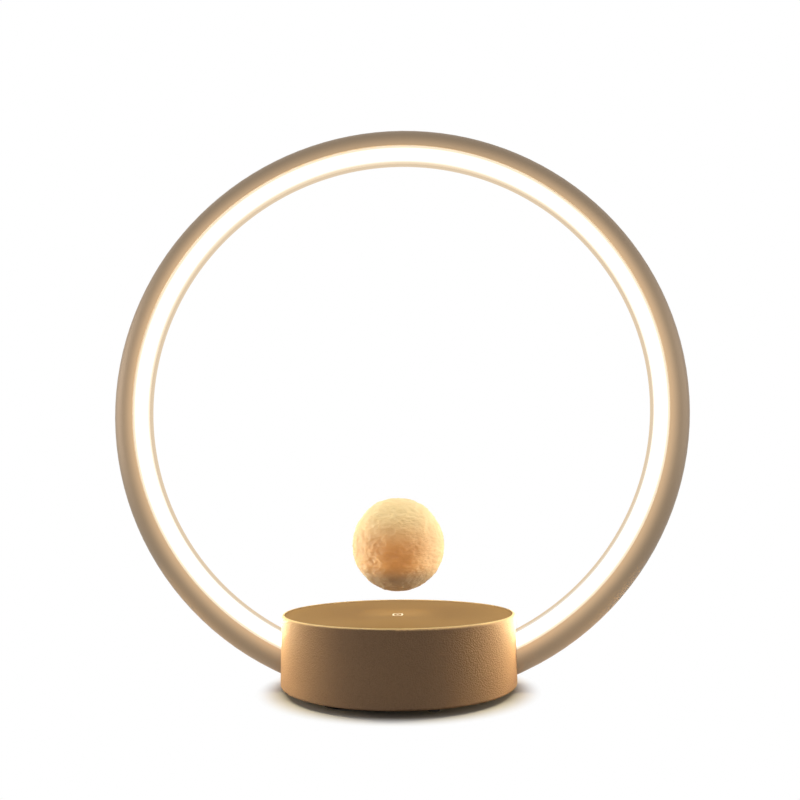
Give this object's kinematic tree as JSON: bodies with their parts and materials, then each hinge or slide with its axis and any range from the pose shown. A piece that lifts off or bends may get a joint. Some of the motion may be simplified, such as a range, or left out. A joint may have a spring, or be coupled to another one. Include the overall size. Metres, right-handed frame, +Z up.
{
  "type": "levitating lamp",
  "caption": "Table lamp with an upright light ring standing on a drum base, and a moon-like ball that hovers and spins over the base by magnetic levitation.",
  "frame": {"origin": "middle of the underside, on the surface that the feet rest on", "axes": "+Z up, +X along the ring to its right side, -Y towards the front"},
  "size_m": [0.298, 0.114, 0.2928],
  "materials": {
    "base_finish": "fine sand-grained champagne paint on die-cast metal",
    "panel_finish": "fine-grained champagne paint on a plastic panel",
    "mark_white": "pale inlay",
    "ring_metal": "satin champagne anodised tube",
    "ring_milky": "milky light diffuser, lit warm white",
    "dark_plastic": "black moulded plastic",
    "pale_plastic": "natural moulded plastic",
    "chip_black": "moulded chip package",
    "part_blue": "sleeved electronic parts",
    "foot_rubber": "black rubber",
    "steel": "zinc-plated steel",
    "magnet_plate": "nickel-plated magnet",
    "magnet_ferrite": "pressed ferrite",
    "brass": "turned brass",
    "copper": "enamelled copper wire",
    "board_green": "circuit board with green mask",
    "strip_white": "white flexible strip",
    "led_yellow": "light chip with yellow phosphor",
    "lead_red": "insulated wire",
    "moon": "rough moon-like moulded shell",
    "moon_cap": "rough moulded cap"
  },
  "bodies": {
    "base": {"base_shell": "base_finish", "top_panel": "panel_finish", "touch_mark": "mark_white", "bottom_cover": "dark_plastic", "cover_screws": "steel", "foot_pads": "foot_rubber", "board_pillars": "brass", "pillar_screws": "steel", "board_screws": "steel", "levitation_board": "board_green", "ring_magnet": "magnet_ferrite", "coil_bobbins": "pale_plastic", "coil_windings": "copper", "coil_cores": "steel", "hall_sensors": "chip_black", "driver_chips": "chip_black", "power_board": "board_green", "power_board_screws": "steel", "board_parts": "part_blue", "board_header": "dark_plastic", "power_inlet": "dark_plastic", "inlet_pin": "steel", "led_connectors": "pale_plastic", "led_leads": "lead_red", "touch_electrode": "copper", "touch_lead": "lead_red", "ring_frame": "ring_metal", "ring_diffuser": "ring_milky", "led_strip": "strip_white", "led_chips": "led_yellow", "ring_end_plugs": "steel", "ring_nipples": "brass", "ring_washers": "steel", "ring_nuts": "steel"},
    "float_core": {"float_magnet": "magnet_plate"},
    "ball": {"ball_shell": "moon", "ball_cap": "moon_cap", "magnet_retainer": "dark_plastic", "retainer_screws": "steel"}
  },
  "joints": [
    {"name": "ball_float", "type": "slide", "parent": "base", "child": "float_core", "axis": [0, 0, 1], "range_m": [-0.0104, 0.04], "stiffness_N_per_m": 60, "springref_m": 0.00597},
    {"name": "ball_spin", "type": "hinge", "parent": "float_core", "child": "ball", "pos_m": [0, 0, 0.0683], "axis": [0, 0, 1], "continuous": true}
  ]
}
